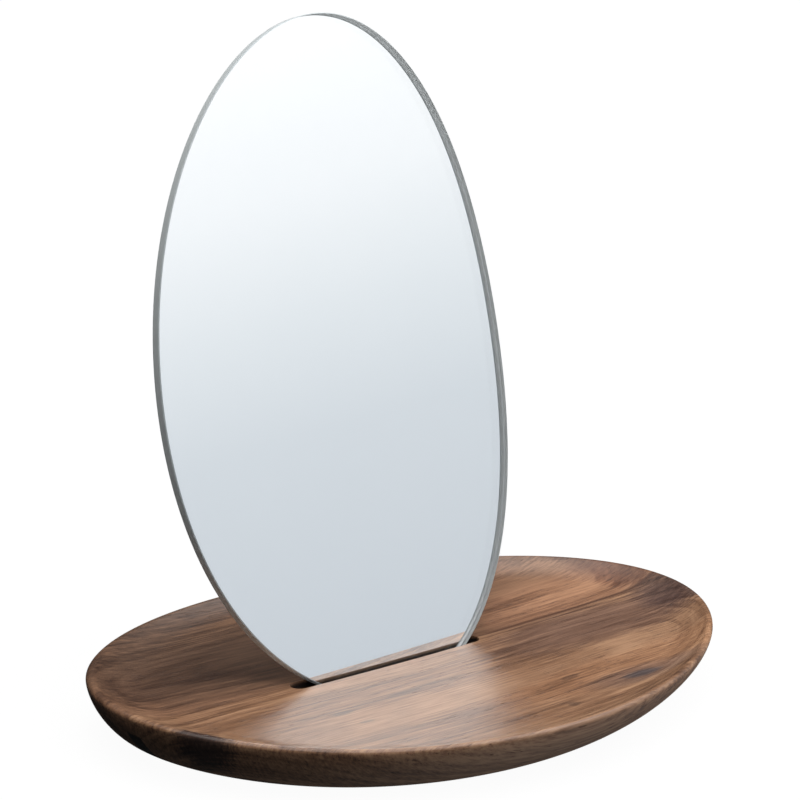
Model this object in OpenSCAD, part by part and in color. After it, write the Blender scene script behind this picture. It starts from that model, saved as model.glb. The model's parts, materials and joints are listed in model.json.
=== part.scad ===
// A free-standing vanity mirror: an oval glass plate that leans in a slot in a dished
// wooden tray. The tray is glued up from two boards. Millimetres, Z up.
// X runs along the grain. The origin is at the middle of the tray's box, on the table.

/* [Tray] */
// Length of the tray's oval, roughly along the grain
tray_len = 301; // [240:1:420]
// Depth of the tray's oval, front to back
tray_dep = 222; // [170:1:300]
// Turn of the tray's oval against the grain and the slot
tray_turn = 3; // [0:0.5:6]
// Height of the wood, from its underside to the top of the rim
tray_h = 24; // [20:0.5:40]
// Depth of the dish, from the top of the rim to the middle of the floor
dish_depth = 8; // [6:0.5:10]
// Part of that depth which the floor itself sinks from its edge to its middle
dish_bowl = 3; // [1:0.5:4]
// Size of the dish's floor against the rim, where the sloping border ends
dish_floor = 0.83; // [0.7:0.01:0.9]
// Radius of the rounded lip of the rim
lip_r = 1.8; // [1:0.1:2.5]
// Size of the flat underside against the rim
base_size = 0.83; // [0.6:0.01:0.92]
// How far the underside's middle lies to the left of the rim's middle
base_left = 7; // [0:0.5:12]
// How far the underside's middle lies behind the rim's middle
base_back = 6; // [0:0.5:10]
// How full the side's curve is, from 1 for straight to 2 for an ellipse
side_curve = 1.5; // [1.1:0.1:2]

/* [Oval] */
// How far the ovals leave an ellipse, as a share of their radius
oval_k = 0.035; // [0:0.005:0.06]
// Angle from an oval's long axis to its first bulge
oval_turn = 20; // [0:1:45]
// Extra fullness of the mirror's oval between its axes
mirror_full = 0.007; // [0:0.001:0.02]

/* [Mirror] */
// Length of the whole oval that the plate is cut from
mirror_len = 301; // [220:1:400]
// Width of the oval
mirror_w = 185; // [120:1:260]
// Thickness of the glass
glass_t = 5; // [3:0.5:6]
// Thickness of the silver layer
silver_t = 0.1; // [0.1:0.05:0.3]
// Thickness of the paint that seals the silver
paint_t = 0.2; // [0.1:0.05:0.5]
// How far the plate leans back from upright
lean = 14; // [6:1:20]
// Turn of the oval in its own plane
mirror_turn = 3.5; // [0:0.1:6]
// Height that is cut off the oval's lower end to make the straight foot
foot_cut = 4.3; // [2:0.1:12]
// How far the mirror's middle lies to the left of the tray's middle
mirror_left = 16.5; // [0:0.5:20]

/* [Slot] */
// Distance from the tray's middle back to the middle of the slot
slot_back = 9.5; // [0:0.5:30]
// Wood left under the slot
slot_floor = 5; // [3:0.5:8]
// Clearance between the plate and each wall that it rests on
slot_fit = 0.25; // [0.1:0.05:0.5]
// Free straight slot to the left of the plate
gap_left = 6.5; // [0.5:0.5:10]
// Free straight slot to the right of the plate
gap_right = 0.5; // [0.5:0.5:10]

/* [Feet] */
// Radius of a foot pad
pad_r = 6; // [4:0.5:9]
// Height of a foot pad
pad_h = 1.5; // [1:0.5:3]
// Distance from the edge of the underside to the middle of a pad
pad_inset = 24; // [14:1:40]

/* [Hidden] */

rim_steps = 96;      // points around the tray
plate_steps = 144;   // points around the mirror
side_steps = 7;      // rings up the side
lip_steps = 4;       // rings over the lip
border_steps = 6;    // rings down the dish's border
bowl_steps = 5;      // rings across the dish's floor
lip_turn = 120;      // angle that the lip rounds through
pad_edge = 0.4;      // bevel around a pad's lower face
past = 2;            // how far a cutting solid runs past what it cuts
wide = 1000;         // size of a solid that halves the tray

plate_t = glass_t + silver_t + paint_t;
dish_z = pad_h + tray_h - dish_depth;                 // middle of the dish's floor
slot_depth = tray_h - dish_depth - slot_floor;
foot_down = (slot_depth - slot_fit - plate_t * sin(lean)) / cos(lean);
slot_w = foot_down * sin(lean) + plate_t / cos(lean) + 2 * slot_fit;
plate_y = slot_back + slot_w / 2 - slot_fit - plate_t / cos(lean);   // front face at the dish
mirror_mid = mirror_len / 2 - foot_down - foot_cut;   // the oval's middle, up the plate

// An oval outline that fills [len, dep] exactly: an ellipse with three soft bulges.
function wave(t, turn, full) = 1 + oval_k * cos(3 * (t - turn)) - full * cos(4 * t);
function loop(n, turn, full) =
    [for (i = [0:n - 1]) let (t = 360 * i / n) wave(t, turn, full) * [cos(t), sin(t)]];
function lows(p) = [min([for (q = p) q.x]), min([for (q = p) q.y])];
function highs(p) = [max([for (q = p) q.x]), max([for (q = p) q.y])];
function fill_box(p, len, dep) =
    let (a = lows(p), b = highs(p))
    [for (q = p) [(q.x - (a.x + b.x) / 2) * len / (b.x - a.x),
                  (q.y - (a.y + b.y) / 2) * dep / (b.y - a.y)]];

function turned(p, a) =
    [for (q = p) [q.x * cos(a) + q.y * sin(a), q.y * cos(a) - q.x * sin(a)]];
function centred(p) = let (mid = (lows(p) + highs(p)) / 2) [for (q = p) q - mid];

tray_fill = fill_box(loop(rim_steps, oval_turn, 0), tray_len, tray_dep);
tray_oval = centred(turned(tray_fill, tray_turn));
plate_fill = fill_box(loop(plate_steps, 90 - oval_turn, mirror_full), mirror_w, mirror_len);
plate_oval = [for (q = turned(plate_fill, mirror_turn)) q + [0, mirror_mid]];

// Where the outline of the plate's back face crosses the dish's floor: the chord that the
// straight part of the slot has to pass. A round end follows it on either side.
chord_up = plate_t * tan(lean);
chord = [for (i = [0:plate_steps - 1])
         let (a = plate_oval[i], b = plate_oval[(i + 1) % plate_steps])
         if ((a.y - chord_up) * (b.y - chord_up) <= 0 && a.y != b.y)
             a.x + (b.x - a.x) * (a.y - chord_up) / (a.y - b.y)];
slot_x0 = min(chord) - mirror_left - gap_left - slot_w / 2;
slot_x1 = max(chord) - mirror_left + gap_right + slot_w / 2;

// The tray's section, from the underside up the side, over the lip and down to the middle of
// the dish. Each entry is [size against the rim, height above the underside, share of the
// underside's shift].
half_dep = tray_dep / 2;
lip_in = lip_r * (1 - cos(lip_turn));
lip_end = 1 - lip_in / half_dep;
lip_drop = lip_r * (1 - sin(lip_turn));
border_drop = dish_depth - dish_bowl - lip_drop;
function bowl(m) = dish_bowl * (1 - pow(m / lip_end, 2));
side = [for (i = [0:side_steps - 1])
        let (a = 90 * (1 - i / side_steps), f = 1 - pow(cos(a), 2 / side_curve))
        [1 - (1 - base_size) * f, (tray_h - lip_r) * (1 - pow(sin(a), 2 / side_curve)), f]];
lip = [for (i = [0:lip_steps])
       let (a = lip_turn * i / lip_steps)
       [1 - lip_r * (1 - cos(a)) / half_dep, tray_h - lip_r * (1 - sin(a)), 0]];
border = [for (i = [1:border_steps])
          let (q = i / border_steps, m = lip_end + (dish_floor - lip_end) * q)
          [m, tray_h - lip_drop - border_drop * (1 - pow(1 - q, 2)) - bowl(m), 0]];
floor_rings = [for (i = [1:bowl_steps - 1])
               let (m = dish_floor * (1 - i / bowl_steps))
               [m, tray_h - lip_drop - border_drop - bowl(m), 0]];
rings = concat(side, lip, border, floor_rings);

function ring(r) = [for (q = tray_oval)
                    [q.x * r[0] - base_left * r[2], q.y * r[0] + base_back * r[2], r[1] + pad_h]];
function band(k, n) = [for (i = [0:n - 1]) each
                       let (j = (i + 1) % n, a = k * n)
                       [[a + i, a + n + j, a + j], [a + i, a + n + i, a + n + j]]];

module tray_blank() {
    n = rim_steps;
    last = (len(rings) - 1) * n;
    under = len(rings) * n;
    points = concat([for (r = rings) each ring(r)],
                    [[-base_left, base_back, pad_h], [0, 0, dish_z]]);
    faces = concat([for (k = [0:len(rings) - 2]) each band(k, n)],
                   [for (i = [0:n - 1]) [i, (i + 1) % n, under]],
                   [for (i = [0:n - 1]) [last + (i + 1) % n, last + i, under + 1]]);
    polyhedron(points, faces, convexity = 6);
}

// The slot is routed straight down with a cutter of its own width, so its ends are round.
module slot() {
    deep = slot_depth + past + dish_bowl;
    translate([0, slot_back, dish_z - slot_depth]) {
        translate([slot_x0 + slot_w / 2, -slot_w / 2, 0])
            cube([slot_x1 - slot_x0 - slot_w, slot_w, deep]);
        for (x = [slot_x0 + slot_w / 2, slot_x1 - slot_w / 2])
            translate([x, 0, 0]) cylinder(h = deep, r = slot_w / 2, $fn = 64);
    }
}

// The boards meet at a glued joint along the middle of the slot.
module board_front() {
    color("rosybrown") difference() {
        tray_blank();
        slot();
        translate([-wide / 2, slot_back, -wide / 2]) cube(wide);
    }
}

module board_back() {
    color("sienna") difference() {
        tray_blank();
        slot();
        translate([-wide / 2, slot_back - wide, -wide / 2]) cube(wide);
    }
}

// One layer of the leaning plate, from depth t0 behind the front face to depth t1.
module layer(t0, t1) {
    translate([-mirror_left, plate_y, dish_z]) rotate([90 - lean, 0, 0])
        translate([0, 0, -t1]) linear_extrude(height = t1 - t0) intersection() {
            polygon(plate_oval);
            translate([-mirror_w, -foot_down]) square([2 * mirror_w, 2 * mirror_len]);
        }
}

module glass_plate() {
    color("lightblue") layer(0, glass_t);
}

module silver_layer() {
    color("silver") layer(glass_t, glass_t + silver_t);
}

module backing_paint() {
    color("slategray") layer(glass_t + silver_t, plate_t);
}

// A stick-on pad under the tray, set in from the edge of the underside at angle t.
module foot(t) {
    edge = base_size * tray_oval[round(t / 360 * rim_steps)];
    spot = edge * (1 - pad_inset / norm(edge));
    color("dimgray") translate([spot.x - base_left, spot.y + base_back, 0])
        rotate_extrude($fn = 48)
            polygon([[0, 0], [pad_r - pad_edge, 0], [pad_r, pad_edge], [pad_r, pad_h], [0, pad_h]]);
}

board_front();
board_back();
glass_plate();
silver_layer();
backing_paint();
foot(225);  // foot_front_left
foot(315);  // foot_front_right
foot(135);  // foot_back_left
foot(45);  // foot_back_right
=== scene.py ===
import json
import math

import bmesh
import bpy
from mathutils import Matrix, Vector


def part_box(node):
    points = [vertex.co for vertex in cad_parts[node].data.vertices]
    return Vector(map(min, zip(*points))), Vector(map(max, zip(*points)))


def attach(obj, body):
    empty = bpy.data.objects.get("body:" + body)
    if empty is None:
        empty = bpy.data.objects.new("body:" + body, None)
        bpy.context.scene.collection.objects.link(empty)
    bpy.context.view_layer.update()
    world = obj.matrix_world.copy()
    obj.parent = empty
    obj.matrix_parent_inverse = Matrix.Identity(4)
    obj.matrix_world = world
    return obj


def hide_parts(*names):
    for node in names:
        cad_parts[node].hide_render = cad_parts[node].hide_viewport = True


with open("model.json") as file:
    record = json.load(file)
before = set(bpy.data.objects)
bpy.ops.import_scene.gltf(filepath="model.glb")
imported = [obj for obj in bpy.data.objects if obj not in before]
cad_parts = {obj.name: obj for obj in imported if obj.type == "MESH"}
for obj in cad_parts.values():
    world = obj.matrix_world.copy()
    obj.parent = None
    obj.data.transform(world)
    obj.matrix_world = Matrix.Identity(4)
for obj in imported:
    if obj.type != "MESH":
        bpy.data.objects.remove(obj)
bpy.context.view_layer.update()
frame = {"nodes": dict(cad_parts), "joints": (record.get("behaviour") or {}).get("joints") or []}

mm = 0.001
print("frame loaded with", len(frame["nodes"]), "parts")


# small helpers

def cosd(angle):
    return math.cos(math.radians(angle))


def sind(angle):
    return math.sin(math.radians(angle))


def angles(start, end, steps):
    return [start + (end - start) * k / steps for k in range(steps + 1)]


def newObject(name, bm, crease=30):  # edges that turn by more than crease degrees stay sharp
    bmesh.ops.recalc_face_normals(bm, faces=bm.faces)
    mesh = bpy.data.meshes.new(name)
    bm.to_mesh(mesh)
    bm.free()
    mesh.shade_smooth()
    mesh.set_sharp_from_angle(angle=math.radians(crease))
    piece = bpy.data.objects.new(name, mesh)
    bpy.context.scene.collection.objects.link(piece)
    return piece


def bridge(bm, low, high):  # quads between two rings with the same number of points
    count = len(low)
    for i in range(count):
        j = (i + 1) % count
        bm.faces.new((low[i], low[j], high[j], high[i]))


def stack(rings):  # a closed solid from rings of points, with a flat face at either end
    bm = bmesh.new()
    rows = [[bm.verts.new(point) for point in ring] for ring in rings]
    for low, high in zip(rows, rows[1:]):
        bridge(bm, low, high)
    bm.faces.new(list(reversed(rows[0])))
    bm.faces.new(rows[-1])
    return bm


# shader helpers

class Wire:  # a socket of a node tree, which Python's operators work on
    def __init__(self, tree, socket):
        self.tree = tree
        self.socket = socket

    def maths(self, operation, *values):
        return build(self.tree, "Math", {"operation": operation}, dict(enumerate(values)))

    def __add__(self, other):
        return self.maths("ADD", self, other)

    def __radd__(self, other):
        return self.maths("ADD", other, self)

    def __sub__(self, other):
        return self.maths("SUBTRACT", self, other)

    def __rsub__(self, other):
        return self.maths("SUBTRACT", other, self)

    def __mul__(self, other):
        return self.maths("MULTIPLY", self, other)

    def __rmul__(self, other):
        return self.maths("MULTIPLY", other, self)

    def __truediv__(self, other):
        return self.maths("DIVIDE", self, other)

    def __rtruediv__(self, other):
        return self.maths("DIVIDE", other, self)

    def __pow__(self, other):
        return self.maths("POWER", self, other)

    def __abs__(self):
        return self.maths("ABSOLUTE", self)

    def ramp(self, start, end):  # 0 before start, 1 after end, smooth between them
        settings = {"interpolation_type": "SMOOTHSTEP"}
        sockets = {"Value": self, "From Min": start, "From Max": end}
        return build(self.tree, "MapRange", settings, sockets)

    def below(self, start, end):  # 1 before start, 0 after end
        return 1 - self.ramp(start, end)


def build(tree, kind, settings, sockets, output=0):
    node = tree.nodes.new("ShaderNode" + kind)
    for key, value in settings.items():
        if key == "stops":
            elements = node.color_ramp.elements
            while len(elements) < len(value):
                elements.new(1)
            for element, (place, colour) in zip(elements, value):
                element.position = place
                element.color = (*colour, 1)
        else:
            setattr(node, key, value)
    for key, value in sockets.items():
        if isinstance(value, Wire):
            tree.links.new(value.socket, node.inputs[key])
        elif isinstance(value, tuple) and len(value) == 3 and node.inputs[key].type == "RGBA":
            node.inputs[key].default_value = (*value, 1)
        else:
            node.inputs[key].default_value = value
    return Wire(tree, node.outputs[output]) if node.outputs else node


def mixColour(tree, factor, first, second, blend="MIX"):
    settings = {"data_type": "RGBA", "blend_type": blend}
    return build(tree, "Mix", settings, {0: factor, 6: first, 7: second}, 2)


def split(tree, vector):
    node = build(tree, "SeparateXYZ", {}, {"Vector": vector}).socket.node
    return [Wire(tree, node.outputs[axis]) for axis in "XYZ"]


def millimetres(tree):  # where a point is in the object's own frame
    place = build(tree, "TexCoord", {}, {}, "Object")
    scaled = build(tree, "VectorMath", {"operation": "SCALE"}, {0: place, "Scale": 1 / mm})
    return split(tree, scaled)


def noise(tree, place, size, detail=2, rough=0.5):  # size is in millimetres, one for each axis
    x, y, z = (wire / length for wire, length in zip(place, size))
    vector = build(tree, "CombineXYZ", {}, {"X": x, "Y": y, "Z": z})
    sockets = {"Vector": vector, "Scale": 1.0, "Detail": detail, "Roughness": rough}
    return build(tree, "TexNoise", {}, sockets)


def newMaterial(name):
    material = bpy.data.materials.new(name)
    material.use_nodes = True
    material.node_tree.nodes.clear()
    return material, material.node_tree


def finishMaterial(tree, sockets, height=None, depth=0.0):  # depth is in millimetres
    if height is not None:
        bump = build(tree, "Bump", {}, {"Height": height, "Strength": 1.0, "Distance": depth * mm})
        sockets["Normal"] = bump
    shader = build(tree, "BsdfPrincipled", {}, sockets)
    build(tree, "OutputMaterial", {}, {"Surface": shader})


# the shapes, in millimetres and degrees

oval = {
    "bulge": 0.035,        # how far an outline leaves an ellipse
    "turn": 20,            # from the tray's long axis to its first bulge
}

tray = {
    "length": 301.0,       # of its oval
    "depth": 222.0,
    "turned": 3.0,         # turn of the oval against the grain
    "dishDepth": 8.0,      # rim to the middle of the dish
    "dishBowl": 3.0,       # what the floor sinks from its edge
    "dishFloor": 0.83,     # size of the floor against the rim
    "lipRadius": 1.8,
    "lipTurn": 120,        # angle that the lip rounds through
    "baseSize": 0.83,      # size of the underside against the rim
    "baseLeft": 7.0,       # how far the underside lies left of the rim
    "baseBack": 6.0,       # and behind it
    "sideCurve": 1.5,      # 1 for a straight side, 2 for an ellipse
    "around": 288,
    "sideRings": 26,
    "lipRings": 12,
    "borderRings": 20,
    "floorRings": 16,
    "blankCrease": 35,     # edges that turn by more stay sharp, before the boards part
    "crease": 25,          # and after
    "cutTolerance": 0.0001,
}

slot = {
    "back": 9.5,           # from the tray's middle to the slot's
    "floor": 5.0,          # wood left under it
    "fit": 0.25,           # clearance at each wall that the plate rests on
    "gapLeft": 6.5,        # straight slot left of the plate
    "gapRight": 0.5,       # and right of it
    "edge": 0.35,          # radius of its sanded edge
    "edgeTurn": 60,        # angle that the edge rounds through
    "edgeDrop": 0.9,       # how far below the dish the edge starts, in radii
    "edgeSteps": 4,
    "endSteps": 20,
    "sideSteps": 12,
    "overrun": 2.0,        # how far the cutter runs past the edge
}

plate = {
    "glass": 5.0,
    "silver": 0.1,
    "paint": 0.2,
    "length": 301.0,       # of the whole oval, before its foot is cut
    "width": 185.0,
    "full": 0.007,         # extra fullness between the oval's axes
    "turned": 3.5,         # turn of the oval in its own plane
    "footCut": 4.3,        # height that is cut off the oval's lower end
    "left": 16.5,          # from the tray's middle to the plate's
    "arris": 0.4,          # ground corner all round the glass
    "sheetInset": 0.4,     # silver and paint stop short of the ground corner
    "sheetGap": 0.01,      # keeps two sheets' faces off each other
    "paintSoft": 0.07,     # bevel round the back of the paint
    "around": 288,
    "crease": 20,
}

lowFront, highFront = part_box("board_front")
lowBack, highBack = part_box("board_back")
padTop = lowFront.z / mm
trayH = highFront.z / mm - padTop
liftAxis = Vector(frame["joints"][0]["axis"])
lean = math.degrees(math.atan2(liftAxis.y, liftAxis.z))

plateT = plate["glass"] + plate["silver"] + plate["paint"]
dishZ = padTop + trayH - tray["dishDepth"]
slotDepth = trayH - tray["dishDepth"] - slot["floor"]
footDown = (slotDepth - slot["fit"] - plateT * sind(lean)) / cosd(lean)
slotW = footDown * sind(lean) + plateT / cosd(lean) + 2 * slot["fit"]
plateY = slot["back"] + slotW / 2 - slot["fit"] - plateT / cosd(lean)
plateMid = plate["length"] / 2 - footDown - plate["footCut"]

halfDep = tray["depth"] / 2
lipEnd = 1 - tray["lipRadius"] * (1 - cosd(tray["lipTurn"])) / halfDep
lipDrop = tray["lipRadius"] * (1 - sind(tray["lipTurn"]))
borderDrop = tray["dishDepth"] - tray["dishBowl"] - lipDrop
floorTop = trayH - lipDrop - borderDrop   # the dish's floor before it sinks


def fillBox(points, *sizes):  # moves and scales an outline to fill a box about its middle
    lows = [min(p[k] for p in points) for k in (0, 1)]
    highs = [max(p[k] for p in points) for k in (0, 1)]
    return [[(p[k] - (lows[k] + highs[k]) / 2) * sizes[k] / (highs[k] - lows[k]) for k in (0, 1)]
            for p in points]


def ovalLoop(count, turn, full, length, depth):
    points = []
    for angle in angles(0, 360, count)[:-1]:
        radius = 1 + oval["bulge"] * cosd(3 * (angle - turn)) - full * cosd(4 * angle)
        points.append((radius * cosd(angle), radius * sind(angle)))
    return fillBox(points, length, depth)


def turnedLoop(points, angle):  # clockwise
    c, s = cosd(angle), sind(angle)
    return [(x * c + y * s, y * c - x * s) for x, y in points]


def crossings(points, height):  # an outline's edges that cross a height, and where they do
    found = {}
    for i, a in enumerate(points):
        b = points[(i + 1) % len(points)]
        if (a[1] - height) * (b[1] - height) < 0:
            found[i] = a[0] + (b[0] - a[0]) * (a[1] - height) / (a[1] - b[1])
    return found


# the tray's shape

def trayOutline():
    whole = ovalLoop(tray["around"], oval["turn"], 0, tray["length"], tray["depth"])
    boxSize = ((highBack.x - lowBack.x) / mm, (highBack.y - lowFront.y) / mm)
    return fillBox(turnedLoop(whole, tray["turned"]), *boxSize)


def bowl(size):
    return tray["dishBowl"] * (1 - (size / lipEnd) ** 2)


def traySection():  # [size against the rim, height, share of the underside's shift]
    rings = []
    lip = tray["lipRadius"]
    for angle in angles(90, 0, tray["sideRings"])[:-1]:
        share = 1 - cosd(angle) ** (2 / tray["sideCurve"])
        rise = 1 - sind(angle) ** (2 / tray["sideCurve"])
        rings.append((1 - (1 - tray["baseSize"]) * share, (trayH - lip) * rise, share))
    for angle in angles(0, tray["lipTurn"], tray["lipRings"]):
        rings.append((1 - lip * (1 - cosd(angle)) / halfDep, trayH - lip * (1 - sind(angle)), 0))
    for i in range(1, tray["borderRings"] + 1):
        q = i / tray["borderRings"]
        size = lipEnd + (tray["dishFloor"] - lipEnd) * q
        rings.append((size, floorTop + borderDrop * (1 - q) ** 2 - bowl(size), 0))
    for i in range(1, tray["floorRings"]):
        size = tray["dishFloor"] * (1 - i / tray["floorRings"])
        rings.append((size, floorTop - bowl(size), 0))
    return rings


def trayBlank():
    outline = trayOutline()
    rings = []
    for size, height, share in traySection():
        left = tray["baseLeft"] * share
        back = tray["baseBack"] * share
        rings.append([((x * size - left) * mm, (y * size + back) * mm, (height + padTop) * mm)
                      for x, y in outline])
    return newObject("trayBlank", stack(rings), tray["blankCrease"])


def plateOutline():  # the plate's edge, in its own plane, with the straight foot
    whole = ovalLoop(plate["around"], 90 - oval["turn"], plate["full"], plate["width"], plate["length"])
    turned = [(x, y + plateMid) for x, y in turnedLoop(whole, plate["turned"])]
    corners = crossings(turned, -footDown)
    points = []
    for i, point in enumerate(turned):
        if point[1] > -footDown:
            points.append(point)
        if i in corners:
            points.append((corners[i], -footDown))
    return points


# The outline of the plate's back face crosses the dish's floor at the ends of a chord. The slot
# ends past that chord, by a gap at either end.
outlineOfPlate = plateOutline()
chord = crossings(outlineOfPlate, plateT * sind(lean) / cosd(lean)).values()
slotLeft = min(chord) - plate["left"] - slot["gapLeft"] - slotW / 2
slotRight = max(chord) - plate["left"] + slot["gapRight"] + slotW / 2


def dishHeight(x, y, outline):  # height of the dish's floor at a point near its middle
    angle = math.atan2(y, x)
    edge = min(outline, key=lambda p: abs(math.remainder(math.atan2(p[1], p[0]) - angle, math.tau)))
    return padTop + floorTop - bowl(math.hypot(x, y) / math.hypot(*edge))


def slotSpine():  # round the slot: a point on its middle line, and the way out from there
    right, left = slotRight - slotW / 2, slotLeft + slotW / 2
    spine = []
    for x, other, start, side in ((right, left, -90, 1), (left, right, 90, -1)):
        for angle in angles(start, start + 180, slot["endSteps"]):
            spine.append((x, cosd(angle), sind(angle)))
        for k in range(1, slot["sideSteps"]):
            spine.append((x + (other - x) * k / slot["sideSteps"], 0, side))
    return spine


def slotCutter():  # a routed slot with round ends, whose upper edge opens in a small round
    outline = trayOutline()
    radius, turn, overrun = slot["edge"], slot["edgeTurn"], slot["overrun"]
    profile = [(0, None)]   # how far out of the slot, and how far above the dish; None is its floor
    for angle in angles(0, turn, slot["edgeSteps"]):
        profile.append((radius * (1 - cosd(angle)), radius * (sind(angle) - slot["edgeDrop"])))
    outward, rise = profile[-1]
    profile.append((outward + overrun * sind(turn), rise + overrun * cosd(turn)))
    rings = []
    for outward, rise in profile:
        ring = []
        for x, nx, ny in slotSpine():
            px = x + nx * (slotW / 2 + outward)
            py = slot["back"] + ny * (slotW / 2 + outward)
            pz = dishZ - slotDepth if rise is None else dishHeight(px, py, outline) + rise
            ring.append((px * mm, py * mm, pz * mm))
        rings.append(ring)
    return newObject("slotCutter", stack(rings), tray["blankCrease"])


def cutTray():
    blank = trayBlank()
    cutter = slotCutter()
    cut = blank.modifiers.new("slot", "BOOLEAN")
    cut.operation = "DIFFERENCE"
    cut.solver = "EXACT"
    cut.object = cutter
    graph = bpy.context.evaluated_depsgraph_get()
    result = bpy.data.meshes.new_from_object(blank.evaluated_get(graph))
    for piece in (blank, cutter):
        bpy.data.objects.remove(piece)
    return result


def board(name, trayMesh, side):  # side is -1 for the board in front of the joint
    bm = bmesh.new()
    bm.from_mesh(trayMesh)
    everything = bm.verts[:] + bm.edges[:] + bm.faces[:]
    cut = bmesh.ops.bisect_plane(bm, geom=everything, dist=tray["cutTolerance"] * mm,
                                 plane_co=(0, slot["back"] * mm, 0), plane_no=(0, -side, 0),
                                 clear_outer=True)
    rim = [item for item in cut["geom_cut"] if isinstance(item, bmesh.types.BMEdge)]
    bmesh.ops.triangle_fill(bm, edges=rim, use_beauty=True, use_dissolve=False)
    return newObject(name, bm, tray["crease"])


# wood

woodLook = {
    "frontBoard": {
        "pith": (-20.0, -46.0),      # y and z of the heart that its rings circle
        "seed": 3.0,
        "dark": (0.056, 0.023, 0.011),
        "middle": (0.208, 0.106, 0.056),
        "light": (0.360, 0.206, 0.118),
        "figuresAndPaintedLight": [                 # at, half size, turn, colour, strength
            ((96.0, -12.0), (84.0, 22.0), -2, (0.090, 0.044, 0.029), 0.80),
            ((142.0, -6.0), (22.0, 22.0), 0, (0.070, 0.034, 0.025), 0.75),
            ((60.0, -75.0), (12.0, 3.6), -3, (0.045, 0.042, 0.041), 0.75),
            ((62.0, -75.0), (36.0, 10.0), -3, (0.095, 0.058, 0.046), 0.60),
            ((12.0, -83.0), (3.4, 2.6), 0, (0.055, 0.028, 0.018), 0.60),
            ((34.0, -57.0), (5.0, 2.2), 0, (0.055, 0.028, 0.018), 0.55),
            ((-67.0, -42.5), (5.0, 2.0), 0, (0.065, 0.042, 0.030), 0.60),
            ((-69.0, -29.0), (6.0, 2.6), 0, (0.080, 0.052, 0.038), 0.50),
            ((-143.0, -30.0), (15.0, 17.0), 0, (0.024, 0.011, 0.009), 0.92),
            ((84.0, -64.0), (110.0, 17.0), 0, (0.330, 0.165, 0.084), 0.65),
        ],
    },
    "backBoard": {
        "pith": (70.0, -30.0),
        "seed": 11.0,
        "dark": (0.050, 0.020, 0.010),
        "middle": (0.168, 0.084, 0.046),
        "light": (0.290, 0.156, 0.088),
        "figuresAndPaintedLight": [
            # lighter orange at the back right: the wood's own orange, brightened further as painted
            # light where no shadow falls
            ((98.0, 26.0), (62.0, 28.0), -4, (0.290, 0.142, 0.078), 0.60),
            ((139.0, 36.0), (15.0, 36.0), 10, (0.070, 0.026, 0.013), 0.85),
            # dark cloud at the back left: darker wood, and painted shadow that the mirror casts over it
            ((-78.0, 54.0), (88.0, 44.0), 0, (0.086, 0.048, 0.031), 0.60),
        ],
    },
}

woodGrain = {
    "layers": {                  # size along, across and up, detail, roughness, place in the noise
        "wander": ((95.0, 60.0, 60.0), 2, 0.50, 0.0),
        "broad": ((260.0, 15.0, 75.0), 1, 0.50, 0.0),
        "band": ((170.0, 5.5, 27.5), 2, 0.60, 5.0),
        "streak": ((90.0, 2.0, 10.0), 3, 0.65, 9.0),
        "fibre": ((26.0, 1.0, 2.0), 3, 0.70, 0.0),
        "pore": ((6.5, 0.65, 1.3), 1, 0.50, 2.0),
    },
    "wobble": 2.5,               # how far the grain wanders
    "slant": 0.35,               # how far the bands slant off the rings, towards the back
    "tone": (0.8, 0.9, 1.0, 1.45),   # what broad, band, streak and fibre add to the tone
    "stops": (0.05, 0.50, 0.90),     # tones of the dark, middle and light colours
    "pores": (0.60, 0.72),       # where the pore layer opens into pores
    "poreStreaks": (0.40, 0.62),     # and the streaks that have them
    "poreTint": 0.65,
    "ragged": 1.8,               # how far streaks fray the figures' outlines
    "figureEdge": (0.2, 1.3),    # where a figure fades, as a share of its size, squared
    "roughness": 0.36,
    "streakRoughness": 0.16,
    "poreRoughness": 0.2,
    "sideRoughness": 0.3,        # the tray's side is only oiled
    "sideFacing": (0.1, 0.5),    # how far a face looks up, from the side to the lip
    "fibreHeight": 0.4,          # against the depth of a pore
    "poreDepth": 0.06,
    "ior": 1.5,
}

glueJoint = {
    "colour": (0.065, 0.026, 0.015),
    "clear": (-6.0, 14.0),       # from the slot's right end, where it grows clear
    "under": 3.0,                # how far below the dish it starts to grow clear
    "line": (0.14, 0.56),        # from the joint, where its line starts and stops fading
    "lineTint": (0.15, 0.35),    # everywhere, and added where it is clear
    "stain": (0.2, 2.2),         # the same for the darker wood beside it
    "stainTint": (0.35, 0.8),    # where it is clear, and added there by the streaks
}

# painted shade: the slot's walls, under the dish, darken to near black for the shade inside the narrow
# slot
paintedSlotShade = {
    "colour": (0.008, 0.005, 0.004),
    "tint": 0.95,
    "wall": (0.1, 0.5),          # from the slot's wall into the wood, where it fades
    "floor": (4.5, 5.5),         # heights under the slot's floor, where it starts
    "top": (-1.6, -0.2),         # heights from the dish, where it fades
}


def tintFiguresAndPaintedLight(tree, look, colour, x, y, ragged):  # clouds and marks in the wood, and patches of painted light and painted shadow
    for at, size, turn, tint, strength in look["figuresAndPaintedLight"]:
        dx, dy = x - at[0], y - at[1]
        along = dx * (cosd(turn) / size[0]) + dy * (sind(turn) / size[0])
        across = dy * (cosd(turn) / size[1]) - dx * (sind(turn) / size[1])
        mask = (along * along + across * across + ragged).below(*woodGrain["figureEdge"])
        ratio = tuple(t / m for t, m in zip(tint, look["middle"]))
        tinted = mixColour(tree, 1.0, colour, ratio, "MULTIPLY")
        colour = mixColour(tree, mask * strength, colour, tinted)
    return colour


def tintJoint(tree, colour, x, fromJoint, z, streak):
    clear = x.ramp(*(slotRight + shift for shift in glueJoint["clear"]))
    clear = clear * z.ramp(dishZ - glueJoint["under"], dishZ)
    plain, added = glueJoint["stainTint"]
    stain = fromJoint.below(*glueJoint["stain"]) * clear * (streak * added + plain)
    colour = mixColour(tree, stain, colour, glueJoint["colour"])
    plain, added = glueJoint["lineTint"]
    line = fromJoint.below(*glueJoint["line"]) * (clear * added + plain)
    return mixColour(tree, line, colour, glueJoint["colour"])


# paints the shade of the slot's walls into the wood's colour
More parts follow.
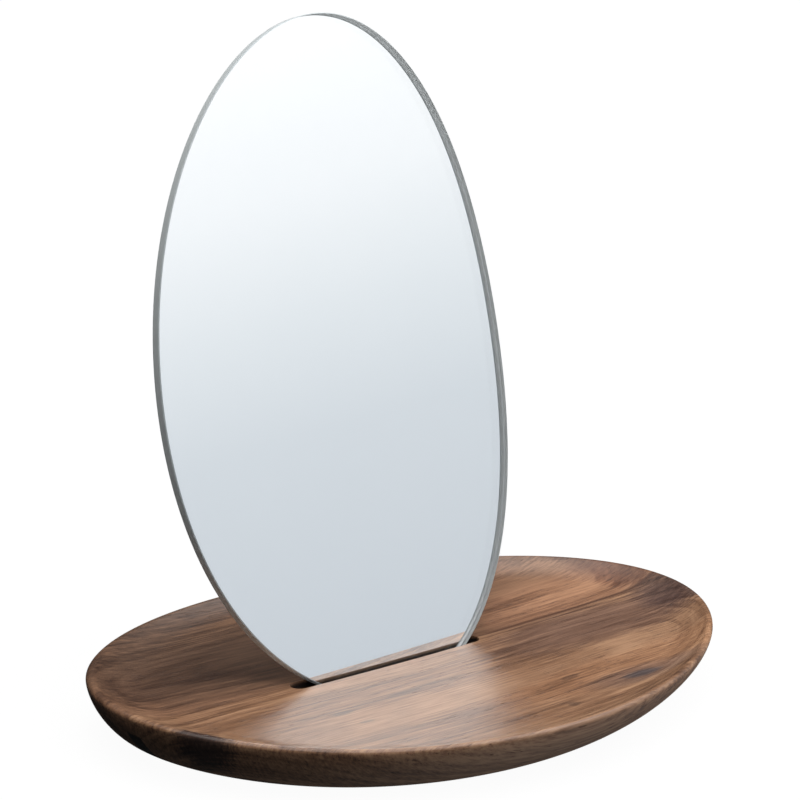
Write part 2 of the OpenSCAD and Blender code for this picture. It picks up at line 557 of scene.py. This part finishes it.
def paintSlotShade(tree, colour, fromJoint, z):
    inside = fromJoint.below(*(slotW / 2 + shift for shift in paintedSlotShade["wall"]))
    inside = inside * z.ramp(*paintedSlotShade["floor"])
    inside = inside * z.below(*(dishZ + shift for shift in paintedSlotShade["top"]))
    return mixColour(tree, inside * paintedSlotShade["tint"], colour, paintedSlotShade["colour"])


def woodMaterial(name, look):
    material, tree = newMaterial(name)
    x, y, z = millimetres(tree)

    def layer(key, across):
        size, detail, rough, shift = woodGrain["layers"][key]
        return noise(tree, (x + (look["seed"] + shift) * size[0], across, z), size, detail, rough)

    yBent = y + (layer("wander", y) - 0.5) * (2 * woodGrain["wobble"])
    dy = yBent - look["pith"][0]
    dz = z - look["pith"][1]
    ring = (dy * dy + dz * dz) ** 0.5
    slanted = ring + yBent * woodGrain["slant"]

    broad, band = layer("broad", ring), layer("band", slanted)
    streak, fibre = layer("streak", slanted), layer("fibre", yBent)
    pores = layer("pore", yBent).ramp(*woodGrain["pores"]) * streak.below(*woodGrain["poreStreaks"])
    tone = 0.5
    for part, weight in zip((broad, band, streak, fibre), woodGrain["tone"]):
        tone = tone + (part - 0.5) * weight
    stops = list(zip(woodGrain["stops"], (look["dark"], look["middle"], look["light"])))
    colour = build(tree, "ValToRGB", {"stops": stops}, {"Fac": tone})

    ragged = (streak - 0.5) * woodGrain["ragged"] + (fibre - 0.5)
    colour = tintFiguresAndPaintedLight(tree, look, colour, x, yBent, ragged)
    fromJoint = abs(y - slot["back"])
    colour = tintJoint(tree, colour, x, fromJoint, z, streak)
    colour = mixColour(tree, pores * woodGrain["poreTint"], colour, look["dark"])
    colour = paintSlotShade(tree, colour, fromJoint, z)

    facingUp = split(tree, build(tree, "NewGeometry", {}, {}, "Normal"))[2]
    side = facingUp.below(*woodGrain["sideFacing"])
    rough = woodGrain["roughness"] + (streak - 0.5) * woodGrain["streakRoughness"]
    rough = rough + pores * woodGrain["poreRoughness"] + side * woodGrain["sideRoughness"]
    finishMaterial(tree, {"Base Color": colour, "Roughness": rough, "IOR": woodGrain["ior"]},
                   fibre * woodGrain["fibreHeight"] - pores, woodGrain["poreDepth"])
    return material


def makeBoards():
    trayMesh = cutTray()
    for node, name, side in (("board_front", "frontBoard", -1), ("board_back", "backBoard", 1)):
        piece = board(name, trayMesh, side)
        piece.data.materials.append(woodMaterial(name + "Wood", woodLook[name]))
        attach(piece, "tray")
        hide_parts(node)
    bpy.data.meshes.remove(trayMesh)
    print("boards made")


# the mirror

glassLook = {
    "ior": 1.52,
    "clear": (0.985, 0.992, 0.992),
    "haze": (60.0, 60.0, 60.0),      # size of the faint unevenness of its gloss
    "hazeRoughness": 0.006,
    "edge": (0.760, 0.810, 0.815),
    "arris": (0.500, 0.550, 0.565),
    "grind": (2.5, 2.5, 6.0),        # size of the marks of grinding
    "grindMarks": (0.3, 0.7),
    "grindTint": 0.12,
    "grindShade": 0.7,               # colour of a mark against its ground
    "grindRoughness": 0.2,
    "grindDepth": 0.01,
    "edgeRoughness": 0.45,
    "edgeClear": 0.2,                # share of the light that the ground edge lets in
    "flatFacing": 0.95,              # least cosine of the turn from its front, for its two flat faces
    "arrisFacing": 0.3,              # and for its ground corners
}

silverLook = {
    "cloud": (45.0, 45.0, 45.0),
    "bright": (0.948, 0.956, 0.966),
    "dim": (0.934, 0.944, 0.956),
    "roughness": 0.01,
}

paintLook = {
    "roller": (1.2, 1.2, 1.6),       # size of the roller's stipple
    "rollerPeaks": (0.58, 0.72),
    "rollerTint": 0.3,
    "rollerRoughness": 0.25,
    "rollerDepth": 0.03,
    "cloud": (35.0, 35.0, 70.0),
    "dark": (0.270, 0.290, 0.300),
    "light": (0.330, 0.350, 0.358),
    "peak": (0.400, 0.415, 0.422),
    "roughness": 0.42,
    "ior": 1.45,
}


def insetLoop(points, inset):  # moves a loop inwards, with mitred corners
    count = len(points)
    moved = []
    for i in range(count):
        a, b, c = (Vector(points[(i + k) % count]) for k in (-1, 0, 1))
        before = (b - a).normalized()
        after = (c - b).normalized()
        n1, n2 = Vector((-before.y, before.x)), Vector((-after.y, after.x))
        moved.append(tuple(b + (n1 + n2) * (inset / (1 + n1.dot(n2)))))
    return moved


def onPlate(point, depth):  # from the plate's plane, and a depth behind its front face, to the frame
    across, up = point
    return Vector(((across - plate["left"]) * mm,
                   (plateY + up * sind(lean) + depth * cosd(lean)) * mm,
                   (dishZ + up * cosd(lean) - depth * sind(lean)) * mm))


def sheet(name, levels):  # levels are [inset from the outline, depth]
    rings = [[onPlate(p, depth) for p in insetLoop(outlineOfPlate, inset)] for inset, depth in levels]
    return newObject(name, stack(rings), plate["crease"])


def glassMaterial():
    material, tree = newMaterial("plateGlass")
    haze = noise(tree, millimetres(tree), glassLook["haze"])
    finishMaterial(tree, {"Base Color": glassLook["clear"], "IOR": glassLook["ior"],
                          "Roughness": haze * glassLook["hazeRoughness"], "Transmission Weight": 1.0})
    return material


def edgeMaterial(name, colour):
    material, tree = newMaterial(name)
    grind = noise(tree, millimetres(tree), glassLook["grind"])
    mark = tuple(c * glassLook["grindShade"] for c in colour)
    marks = grind.ramp(*glassLook["grindMarks"]) * glassLook["grindTint"]
    rough = glassLook["edgeRoughness"] + (grind - 0.5) * glassLook["grindRoughness"]
    finishMaterial(tree, {"Base Color": mixColour(tree, marks, colour, mark), "Roughness": rough,
                          "IOR": glassLook["ior"], "Transmission Weight": glassLook["edgeClear"]},
                   grind, glassLook["grindDepth"])
    return material


def silverMaterial():
    material, tree = newMaterial("silvering")
    cloud = noise(tree, millimetres(tree), silverLook["cloud"], 3)
    colour = mixColour(tree, cloud, silverLook["bright"], silverLook["dim"])
    finishMaterial(tree, {"Base Color": colour, "Metallic": 1.0,
                          "Roughness": cloud * silverLook["roughness"]})
    return material


def paintMaterial():
    material, tree = newMaterial("sealPaint")
    place = millimetres(tree)
    roller = noise(tree, place, paintLook["roller"], 3, 0.6)
    cloud = noise(tree, place, paintLook["cloud"], 3)
    peaks = roller.ramp(*paintLook["rollerPeaks"]) * paintLook["rollerTint"]
    colour = mixColour(tree, cloud, paintLook["dark"], paintLook["light"])
    colour = mixColour(tree, peaks, colour, paintLook["peak"])
    rough = paintLook["roughness"] + roller * paintLook["rollerRoughness"]
    finishMaterial(tree, {"Base Color": colour, "Roughness": rough, "IOR": paintLook["ior"]},
                   roller, paintLook["rollerDepth"])
    return material


def makeGlass():
    arris, back = plate["arris"], plate["glass"]
    glass = sheet("glassPlate", [(arris, 0), (0, arris), (0, back - arris), (arris, back)])
    for item in (glassMaterial(), edgeMaterial("groundEdge", glassLook["edge"]),
                 edgeMaterial("groundCorner", glassLook["arris"])):
        glass.data.materials.append(item)
    normal = Vector((0, cosd(lean), -sind(lean)))
    for face in glass.data.polygons:
        facing = abs(face.normal.dot(normal))
        if facing > glassLook["flatFacing"]:
            face.material_index = 0
        else:
            face.material_index = 2 if facing > glassLook["arrisFacing"] else 1
    return glass


def makeMirror():
    glass = makeGlass()
    inset, gap, soft = plate["sheetInset"], plate["sheetGap"], plate["paintSoft"]
    silverEnd = plate["glass"] + plate["silver"]
    paintEnd = silverEnd + plate["paint"]
    silver = sheet("silverLayer", [(inset, plate["glass"] + gap), (inset, silverEnd - gap)])
    silver.data.materials.append(silverMaterial())
    paint = sheet("backingPaint", [(inset, silverEnd), (inset, paintEnd - soft),
                                   (inset + soft, paintEnd - gap)])
    paint.data.materials.append(paintMaterial())
    for piece, node, finish in ((glass, "glass_plate", "plate_glass"),
                                (silver, "silver_layer", "silvering"),
                                (paint, "backing_paint", "seal_paint")):
        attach(piece, "mirror")
        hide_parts(node)
    print("mirror made")


# the pads under the tray

pad = {
    "corner": 0.45,        # radius of its lower edge
    "skirt": 0.25,         # radius of its upper edge
    "cornerSteps": 6,
    "around": 64,
    "crease": 35,
    "grain": (0.35, 0.35, 0.35),     # size of the rubber's grain
    "grainRoughness": 0.25,
    "grainDepth": 0.04,
    "dust": (4.0, 4.0, 4.0),
    "clean": (0.016, 0.016, 0.017),
    "dusty": (0.034, 0.033, 0.032),
    "roughness": 0.62,
}


def padMaterial():
    material, tree = newMaterial("padRubber")
    place = millimetres(tree)
    grain = noise(tree, place, pad["grain"], 3, 0.6)
    colour = mixColour(tree, noise(tree, place, pad["dust"]), pad["clean"], pad["dusty"])
    rough = pad["roughness"] + grain * pad["grainRoughness"]
    finishMaterial(tree, {"Base Color": colour, "Roughness": rough}, grain, pad["grainDepth"])
    return material


def makePads():
    rubber = padMaterial()
    for side in ("front_left", "front_right", "back_left", "back_right"):
        low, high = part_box("foot_" + side)
        middle = (low + high) / 2
        radius = (high.x - low.x) / 2 / mm
        height = (high.z - low.z) / mm
        turns = angles(0, 90, pad["cornerSteps"])
        profile = [(radius - pad["corner"] * (1 - sind(turn)), pad["corner"] * (1 - cosd(turn)))
                   for turn in turns]
        profile += [(radius - pad["skirt"] * (1 - cosd(turn)), height - pad["skirt"] * (1 - sind(turn)))
                    for turn in turns]
        rings = [[(middle.x + r * cosd(turn) * mm, middle.y + r * sind(turn) * mm, h * mm)
                  for turn in angles(0, 360, pad["around"])[:-1]] for r, h in profile]
        first, second = side.split("_")
        piece = newObject("pad" + first.title() + second.title(), stack(rings), pad["crease"])
        piece.data.materials.append(rubber)
        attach(piece, "tray")
        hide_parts("foot_" + side)
    print("pads made")


# studio

view = {
    "aim": (0.0096, 0.0304, 0.1285),   # metres
    "distance": 1.19,
    "azimuth": -38.83,
    "elevation": 14.59,
    "lens": 121.5,
    "sensor": 36.0,
    "reach": 100.0,        # how far it sees, in metres
}

studio = {
    "keyWay": (0.81, -0.59),         # where the soft light stands, seen from above
    "keySpread": (0.60, 0.90),       # cosines of the turn from there, at its edge and where it is full
    "keyRise": (0.24, 0.50),         # sines of the height, where it brightens
    "keyFade": (0.72, 0.98),         # and where it fades again
    "keyStrength": 1.3,
    "sky": [                         # sine of the height above the horizon, colour
        (0.0, (0.520, 0.560, 0.600)),
        (0.045, (0.545, 0.580, 0.620)),
        (0.129, (0.620, 0.655, 0.690)),
        (0.172, (0.730, 0.760, 0.785)),
        (0.216, (0.870, 0.885, 0.900)),
        (0.29, (1.0, 1.0, 1.0)),
    ],
    "skyStrength": 1.15,
    "fill": 0.05,                    # light from the other sides
    "overhead": (0.10, -0.12, 0.99),     # direction of the large lamp above
    "overheadSpread": (0.62, 0.90),
    "zenith": 3.1,                   # its strength
    "floorSize": 60.0,               # metres
    "floorColour": (0.93, 0.93, 0.93),
    "floorGlow": 0.96,               # share of its own light, which keeps it plain
}


def makeCamera():
    azimuth, elevation = view["azimuth"], view["elevation"]
    back = Vector((sind(azimuth) * cosd(elevation), -cosd(azimuth) * cosd(elevation), sind(elevation)))
    data = bpy.data.cameras.new("camera")
    data.lens = view["lens"]
    data.sensor_width = view["sensor"]
    data.clip_end = view["reach"]
    camera = bpy.data.objects.new("camera", data)
    camera.location = Vector(view["aim"]) + back * view["distance"]
    camera.rotation_mode = "QUATERNION"
    camera.rotation_quaternion = back.to_track_quat("Z", "Y")
    bpy.context.scene.collection.objects.link(camera)
    bpy.context.scene.camera = camera
    bpy.context.scene.view_settings.view_transform = "Standard"


def makeWorld():
    world = bpy.data.worlds.new("studio")
    bpy.context.scene.world = world
    world.use_nodes = True
    tree = world.node_tree
    tree.nodes.clear()
    x, y, z = split(tree, build(tree, "TexCoord", {}, {}, "Generated"))
    level = (x * x + y * y) ** 0.5 + 0.001   # never quite zero, because it divides
    keyX, keyY = studio["keyWay"]
    side = ((x * keyX + y * keyY) / level).ramp(*studio["keySpread"])
    key = z.ramp(*studio["keyRise"]) * z.below(*studio["keyFade"])
    around = side * (1 + key * (studio["keyStrength"] - 1)) * studio["skyStrength"]
    around = around + (1 - side) * studio["fill"]
    overX, overY, overZ = studio["overhead"]
    high = (x * overX + y * overY + z * overZ).ramp(*studio["overheadSpread"])
    strength = around * (1 - high) + high * studio["zenith"] + high * key * side
    colour = build(tree, "ValToRGB", {"stops": studio["sky"]}, {"Fac": z})
    background = build(tree, "Background", {}, {"Color": colour, "Strength": strength})
    build(tree, "OutputWorld", {}, {"Surface": background})


def makeFloor():
    bm = bmesh.new()
    bmesh.ops.create_grid(bm, x_segments=1, y_segments=1, size=studio["floorSize"] / 2)
    floor = newObject("floor", bm)
    material, tree = newMaterial("paleFloor")
    shader = build(tree, "BsdfDiffuse", {}, {"Color": studio["floorColour"]})
    glow = build(tree, "Emission", {}, {"Color": (1, 1, 1), "Strength": 1.0})
    both = build(tree, "MixShader", {}, {0: studio["floorGlow"], 1: shader, 2: glow})
    build(tree, "OutputMaterial", {}, {"Surface": both})
    floor.data.materials.append(material)
    floor.visible_diffuse = False
    floor.visible_glossy = False


makeCamera()
makeBoards()
makeMirror()
makePads()
makeWorld()
makeFloor()
print("studio made")
